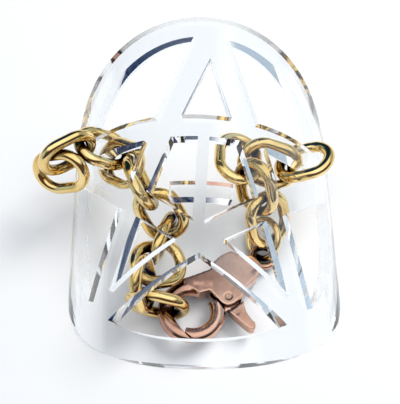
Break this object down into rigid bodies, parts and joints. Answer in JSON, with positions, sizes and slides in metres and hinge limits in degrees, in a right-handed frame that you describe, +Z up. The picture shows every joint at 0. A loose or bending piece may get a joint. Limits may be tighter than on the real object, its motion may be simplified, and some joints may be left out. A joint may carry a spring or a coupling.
{
  "type": "cuff bracelet",
  "caption": "Clear acrylic arch cuff with star and cross cut-outs, closed under the wrist by a gold cable chain and a rose-gold lobster clasp.",
  "frame": {"origin": "on the table under the middle of the arch", "axes": "+X across the arch towards the right strip end, +Y along the axis of the bend towards the tip of the star, +Z up"},
  "size_m": [0.0792, 0.0956, 0.0332],
  "materials": {
    "clear_acrylic": "clear, polished faces and laser-cut edges",
    "yellow_gold": "polished gold plate",
    "rose_gold": "polished, with satin cheeks",
    "spring_steel": "drawn wire"
  },
  "bodies": {
    "cuff": {"clear_cuff_plate": "clear_acrylic"},
    "left_link_1": {"left_link_1": "yellow_gold"},
    "right_link_1": {"right_link_1": "yellow_gold"},
    "tail_link_1": {"tail_link_1": "yellow_gold"},
    "tail_link_2": {"tail_link_2": "yellow_gold"},
    "left_link_2": {"left_link_2": "yellow_gold"},
    "left_link_3": {"left_link_3": "yellow_gold"},
    "left_link_4": {"left_link_4": "yellow_gold"},
    "left_link_5": {"left_link_5": "yellow_gold"},
    "left_link_6": {"left_link_6": "yellow_gold"},
    "left_link_7": {"left_link_7": "yellow_gold"},
    "left_link_8": {"left_link_8": "yellow_gold"},
    "right_link_2": {"right_link_2": "yellow_gold"},
    "right_link_3": {"right_link_3": "yellow_gold"},
    "right_link_4": {"right_link_4": "yellow_gold"},
    "right_link_5": {"right_link_5": "yellow_gold"},
    "jump_ring": {"jump_ring": "yellow_gold"},
    "clasp": {"clasp_body": "rose_gold", "clasp_pivot_rivet": "rose_gold", "clasp_gate_spring": "spring_steel"},
    "gate": {"clasp_gate": "rose_gold"}
  },
  "joints": [
    {"name": "left_link_1_roll", "type": "hinge", "parent": "cuff", "child": "left_link_1", "pos_m": [-0.02526, 0.0203, 0.01895], "axis": [0.7424, -0.6461, -0.177], "range_deg": [-1.5, 0.8]},
    {"name": "left_link_2_roll", "type": "hinge", "parent": "cuff", "child": "left_link_2", "pos_m": [-0.02124, 0.0168, 0.01799], "axis": [0.3146, -0.8638, 0.3936], "range_deg": [-2.5, 2]},
    {"name": "left_link_3_roll", "type": "hinge", "parent": "cuff", "child": "left_link_3", "pos_m": [-0.01684, 0.00472, 0.0235], "axis": [0.4417, -0.6477, -0.6208], "range_deg": [-4, 1.5]},
    {"name": "left_link_4_roll", "type": "hinge", "parent": "cuff", "child": "left_link_4", "pos_m": [-0.01374, 0.00019, 0.01915], "axis": [0.7958, -0.2657, -0.5442], "range_deg": [-5.5, 2]},
    {"name": "left_link_5_roll", "type": "hinge", "parent": "cuff", "child": "left_link_5", "pos_m": [-0.00661, -0.0022, 0.01427], "axis": [-0.5767, -0.8165, -0.0276], "range_deg": [-9.5, 9]},
    {"name": "left_link_6_roll", "type": "hinge", "parent": "cuff", "child": "left_link_6", "pos_m": [-0.01298, -0.01121, 0.01397], "axis": [0.0741, -0.9281, -0.3648], "range_deg": [-2.5, 12.5]},
    {"name": "left_link_7_roll", "type": "hinge", "parent": "cuff", "child": "left_link_7", "pos_m": [-0.01243, -0.01818, 0.01123], "axis": [-0.393, -0.8925, 0.2215], "range_deg": [-8.5, 2]},
    {"name": "left_link_8_roll", "type": "hinge", "parent": "cuff", "child": "left_link_8", "pos_m": [-0.01509, -0.02423, 0.01273], "axis": [0.5655, 0.0809, -0.8208], "range_deg": [-4.5, 5]},
    {"name": "tail_link_1_swing", "type": "hinge", "parent": "left_link_1", "child": "tail_link_1", "pos_m": [-0.03153, 0.01497, 0.02343], "axis": [-0.187, 0.9766, -0.1058], "range_deg": [-1.2, 30]},
    {"name": "tail_link_2_swing", "type": "hinge", "parent": "tail_link_1", "child": "tail_link_2", "pos_m": [-0.03985, 0.00866, 0.02233], "axis": [-0.2566, -0.0755, 0.9636], "range_deg": [-45, 1.5]},
    {"name": "right_link_1_roll", "type": "hinge", "parent": "cuff", "child": "right_link_1", "pos_m": [0.02612, 0.016, 0.01731], "axis": [-0.8387, -0.5437, -0.0295], "range_deg": [-0.5, 2]},
    {"name": "right_link_2_roll", "type": "hinge", "parent": "cuff", "child": "right_link_2", "pos_m": [0.02222, 0.01348, 0.01717], "axis": [-0.9821, 0.0973, 0.1612], "range_deg": [-11, 2]},
    {"name": "right_link_3_roll", "type": "hinge", "parent": "cuff", "child": "right_link_3", "pos_m": [0.01301, 0.01439, 0.01868], "axis": [-0.2864, -0.944, 0.1637], "range_deg": [-6.5, 12.5]},
    {"name": "right_link_4_roll", "type": "hinge", "parent": "cuff", "child": "right_link_4", "pos_m": [0.01087, 0.00734, 0.0199], "axis": [0.592, -0.7331, -0.3348], "range_deg": [-4, 3]},
    {"name": "right_link_5_roll", "type": "hinge", "parent": "cuff", "child": "right_link_5", "pos_m": [0.01637, 0.00053, 0.01679], "axis": [0.1734, -0.5456, -0.8199], "range_deg": [-12.5, 6]},
    {"name": "jump_ring_roll", "type": "hinge", "parent": "cuff", "child": "jump_ring", "pos_m": [0.01856, -0.00639, 0.00641], "axis": [-0.7486, -0.0425, -0.6617], "range_deg": [-1.4, 2.8]},
    {"name": "clasp_roll", "type": "hinge", "parent": "cuff", "child": "clasp", "pos_m": [0.0137, -0.00666, 0.00211], "axis": [-0.8047, -0.5897, 0.0685], "range_deg": [-4, 0.7]},
    {"name": "gate_pivot", "type": "hinge", "parent": "clasp", "child": "gate", "pos_m": [0.00601, -0.02081, 0.0045], "axis": [-0.0732, -0.0618, -0.9954], "range_deg": [0, 15], "stiffness_Nm_per_rad": 0.002, "springref_deg": -17.19}
  ]
}
